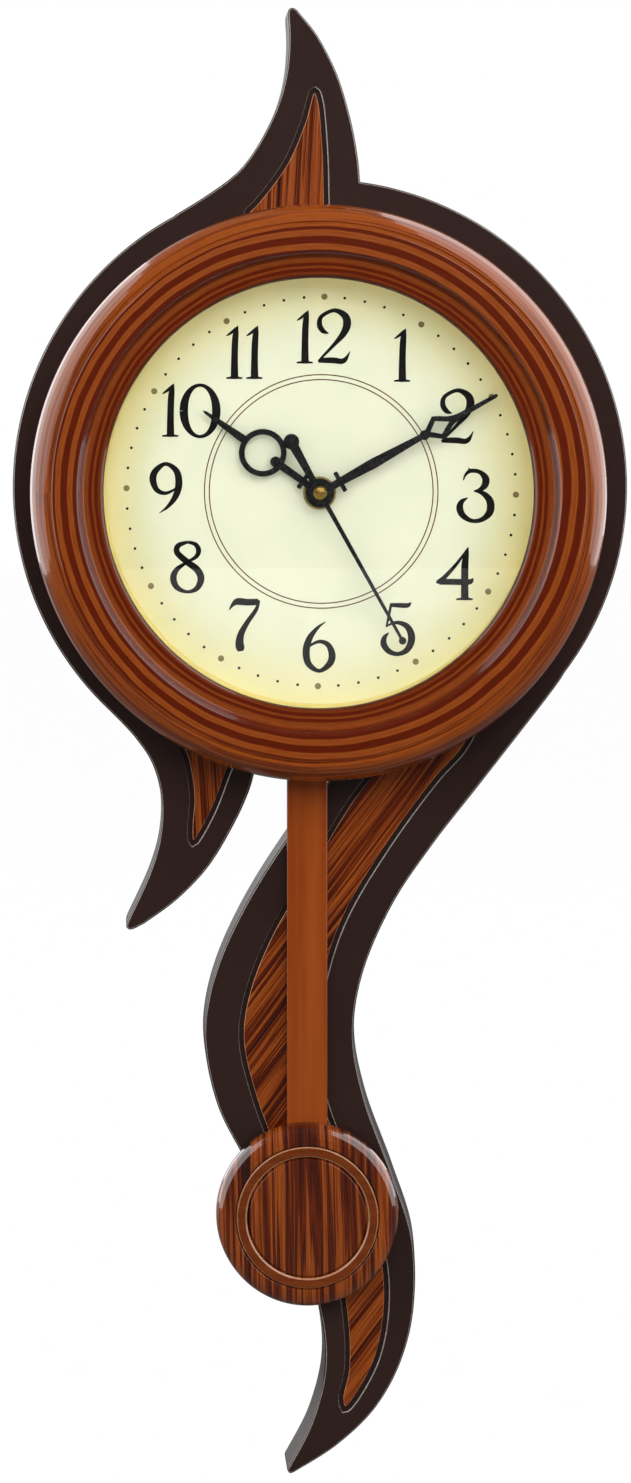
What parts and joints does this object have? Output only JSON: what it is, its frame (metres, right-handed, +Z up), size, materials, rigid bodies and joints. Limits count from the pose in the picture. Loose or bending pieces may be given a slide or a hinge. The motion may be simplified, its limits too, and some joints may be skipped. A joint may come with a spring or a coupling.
{
  "type": "pendulum wall clock",
  "caption": "Wall clock on a flame-shaped backboard, with a round stepped bezel, a cream dial with three hands and a disc pendulum that swings in front of the tail.",
  "frame": {"origin": "the hanging point: top of the keyhole slot, on the wall plane at the back", "axes": "+X to the right seen from the front, +Y back into the wall, +Z up"},
  "size_m": [0.2617, 0.0476, 0.6218],
  "materials": {
    "board": "dark brown moulded plastic, glossy",
    "inlay": "striped wood-look film under gloss",
    "bezel": "concentric wood-grain film under gloss",
    "lens": "flat clear glass",
    "dial_ring": "cream-yellow, satin",
    "dial": "printed cream card",
    "cream": "off-white moulded plastic",
    "case": "black moulded plastic, fine texture",
    "steel": "zinc-plated steel",
    "brass": "polished brass",
    "hands": "black, satin gloss",
    "gear": "natural acetal",
    "magnet": "nickel-plated magnet",
    "copper": "enamelled copper wire",
    "pcb": "green solder mask",
    "battery": "plain blue sleeve, no print",
    "pendulum": "plain brown moulded plastic, satin gloss",
    "bob": "striped wood-look film under gloss",
    "bob_back": "dark brown moulded plastic"
  },
  "bodies": {
    "case": {"backboard": "board", "inlay_top": "inlay", "inlay_lower_left": "inlay", "inlay_tail": "inlay", "hanger_plate": "steel", "hanger_screw_1": "steel", "hanger_screw_2": "steel", "bezel": "bezel", "bezel_screw_1": "steel", "bezel_screw_2": "steel", "bezel_screw_3": "steel", "bezel_screw_4": "steel", "lens": "lens", "dial_ring": "dial_ring", "dial": "dial", "dial_plate": "cream", "dial_screw_1": "steel", "dial_screw_2": "steel", "dial_screw_3": "steel", "movement_case": "case", "movement_cover": "case", "shaft_washer": "brass", "shaft_nut": "brass", "stator": "steel", "motor_coil": "copper", "circuit_board": "pcb", "battery": "battery", "contact_plus": "steel", "contact_minus": "steel", "pendulum_coil": "copper"},
    "seconds": {"second_hand": "hands", "second_cap": "brass", "second_wheel": "gear"},
    "minutes": {"minute_hand": "hands", "minute_wheel": "gear"},
    "hours": {"hour_hand": "hands", "hour_wheel": "gear"},
    "third": {"third_wheel": "gear"},
    "setting": {"setting_wheel": "gear", "set_knob": "cream"},
    "fifth": {"fifth_wheel": "gear"},
    "motor_rotor": {"rotor": "magnet"},
    "pendulum": {"pendulum_lever": "cream", "pendulum_magnet": "magnet", "pendulum_bar": "pendulum", "bob_front": "bob", "bob_ring": "pendulum", "bob_back": "bob_back", "bob_weight": "steel", "bob_screw_1": "steel", "bob_screw_2": "steel"}
  },
  "joints": [
    {"name": "second_spin", "type": "hinge", "parent": "case", "child": "seconds", "pos_m": [0, -0.02, -0.109], "axis": [0, 1, 0], "continuous": true},
    {"name": "minute_spin", "type": "hinge", "parent": "case", "child": "minutes", "pos_m": [0, -0.02, -0.109], "axis": [0, 1, 0], "continuous": true},
    {"name": "hour_spin", "type": "hinge", "parent": "case", "child": "hours", "pos_m": [0, -0.02, -0.109], "axis": [0, 1, 0], "continuous": true},
    {"name": "third_spin", "type": "hinge", "parent": "case", "child": "third", "pos_m": [0.0055, -0.02, -0.09947], "axis": [0, 1, 0], "continuous": true},
    {"name": "setting_spin", "type": "hinge", "parent": "case", "child": "setting", "pos_m": [-0.00987, -0.02, -0.11259], "axis": [0, 1, 0], "continuous": true},
    {"name": "fifth_spin", "type": "hinge", "parent": "case", "child": "fifth", "pos_m": [0.01015, -0.02, -0.11269], "axis": [0, 1, 0], "continuous": true},
    {"name": "rotor_spin", "type": "hinge", "parent": "case", "child": "motor_rotor", "pos_m": [0.01171, -0.02, -0.12156], "axis": [0, 1, 0], "continuous": true},
    {"name": "pendulum_swing", "type": "hinge", "parent": "case", "child": "pendulum", "pos_m": [-0.0051, -0.02, -0.169], "axis": [0, 1, 0], "range_deg": [-20, 20]}
  ],
  "couplings": [
    {"joint": "minute_spin", "follows": "second_spin", "ratio": 0.016667},
    {"joint": "hour_spin", "follows": "second_spin", "ratio": 0.0013889},
    {"joint": "third_spin", "follows": "second_spin", "ratio": -0.13333},
    {"joint": "setting_spin", "follows": "second_spin", "ratio": -0.0055556},
    {"joint": "fifth_spin", "follows": "second_spin", "ratio": -5},
    {"joint": "rotor_spin", "follows": "second_spin", "ratio": 30}
  ]
}
